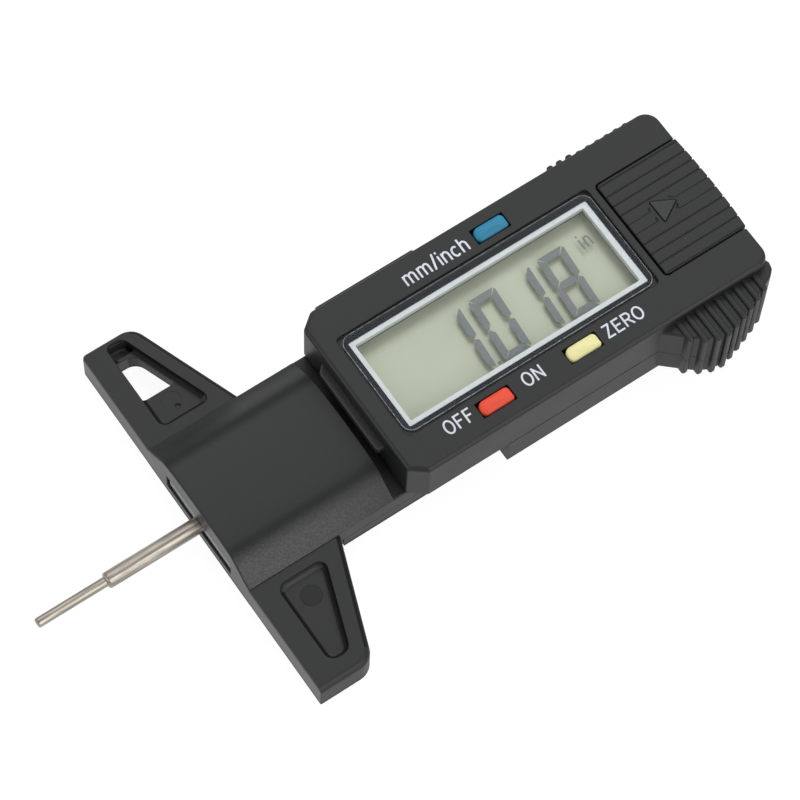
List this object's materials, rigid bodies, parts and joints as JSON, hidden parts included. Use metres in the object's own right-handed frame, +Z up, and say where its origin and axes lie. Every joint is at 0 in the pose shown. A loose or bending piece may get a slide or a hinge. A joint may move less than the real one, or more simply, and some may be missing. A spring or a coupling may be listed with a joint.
{
  "type": "tire tread depth gauge",
  "caption": "Digital tread depth gauge: T-shaped base, sliding display head with push buttons and battery door, and a stepped probe through the measuring face.",
  "frame": {"origin": "centre of the footprint, on the plane of the backs of the base and the head, with the probe fully out", "axes": "+X from the probe tip to the battery end of the head, +Y towards the unit button's side, +Z up out of the display"},
  "size_m": [0.1115, 0.0596, 0.0139],
  "materials": {
    "black_plastic": "satin moulded plastic with a fine grain",
    "guide_metal": "satin",
    "scale_board": "printed board",
    "clear_lens": "clear polished acrylic",
    "display_rim": "light grey satin",
    "display_glass": "grey-green reflective display",
    "white_plastic": "plain white plastic and white print",
    "contact_rubber": "striped conductive rubber",
    "board_green": "solder-mask gloss",
    "chip_epoxy": "cured epoxy",
    "can_metal": "plated can",
    "button_blue": "satin",
    "button_red": "satin",
    "button_yellow": "satin",
    "switch_body": "moulded",
    "probe_steel": "ground and lightly polished",
    "holder_brass": "turned",
    "screw_steel": "zinc plated",
    "spring_steel": "rolled strip",
    "cell_steel": "nickel plated",
    "contact_brass": "gold-flashed strip"
  },
  "bodies": {
    "base": {"t_base": "black_plastic", "beam_back_plate": "black_plastic", "plate_screw_1": "screw_steel", "plate_screw_2": "screw_steel", "plate_screw_3": "screw_steel", "plate_screw_4": "screw_steel", "probe_guide_plate": "guide_metal", "scale_strip": "scale_board"},
    "head": {"upper_shell": "black_plastic", "lower_shell": "black_plastic", "lens": "clear_lens", "display_frame": "display_rim", "display_panel": "display_glass", "display_tray": "white_plastic", "contact_rubber_1": "contact_rubber", "contact_rubber_2": "contact_rubber", "circuit_board": "board_green", "chip_cap": "chip_epoxy", "timing_crystal": "can_metal", "switch_unit": "switch_body", "switch_power": "switch_body", "switch_zero": "switch_body", "depth_probe": "probe_steel", "probe_holder": "holder_brass", "probe_clamp_screw": "screw_steel", "leaf_spring": "spring_steel", "coin_cell": "cell_steel", "contact_negative": "contact_brass", "contact_positive": "contact_brass", "case_screw_1": "screw_steel", "case_screw_2": "screw_steel", "case_screw_3": "screw_steel", "case_screw_4": "screw_steel"},
    "door": {"battery_door": "black_plastic"},
    "unit_key": {"button_unit": "button_blue"},
    "power_key": {"button_power": "button_red"},
    "zero_key": {"button_zero": "button_yellow"}
  },
  "joints": [
    {"name": "head_slide", "type": "slide", "parent": "base", "child": "head", "axis": [1, 0, 0], "range_m": [0, 0.02586]},
    {"name": "door_slide", "type": "slide", "parent": "head", "child": "door", "axis": [1, 0, 0], "range_m": [0, 0.0165]},
    {"name": "unit_press", "type": "slide", "parent": "head", "child": "unit_key", "axis": [0, 0, -1], "range_m": [0, 0.00045], "stiffness_N_per_m": 6, "springref_m": -0.0005},
    {"name": "power_press", "type": "slide", "parent": "head", "child": "power_key", "axis": [0, 0, -1], "range_m": [0, 0.00045], "stiffness_N_per_m": 6, "springref_m": -0.0005},
    {"name": "zero_press", "type": "slide", "parent": "head", "child": "zero_key", "axis": [0, 0, -1], "range_m": [0, 0.00045], "stiffness_N_per_m": 6, "springref_m": -0.0005}
  ]
}
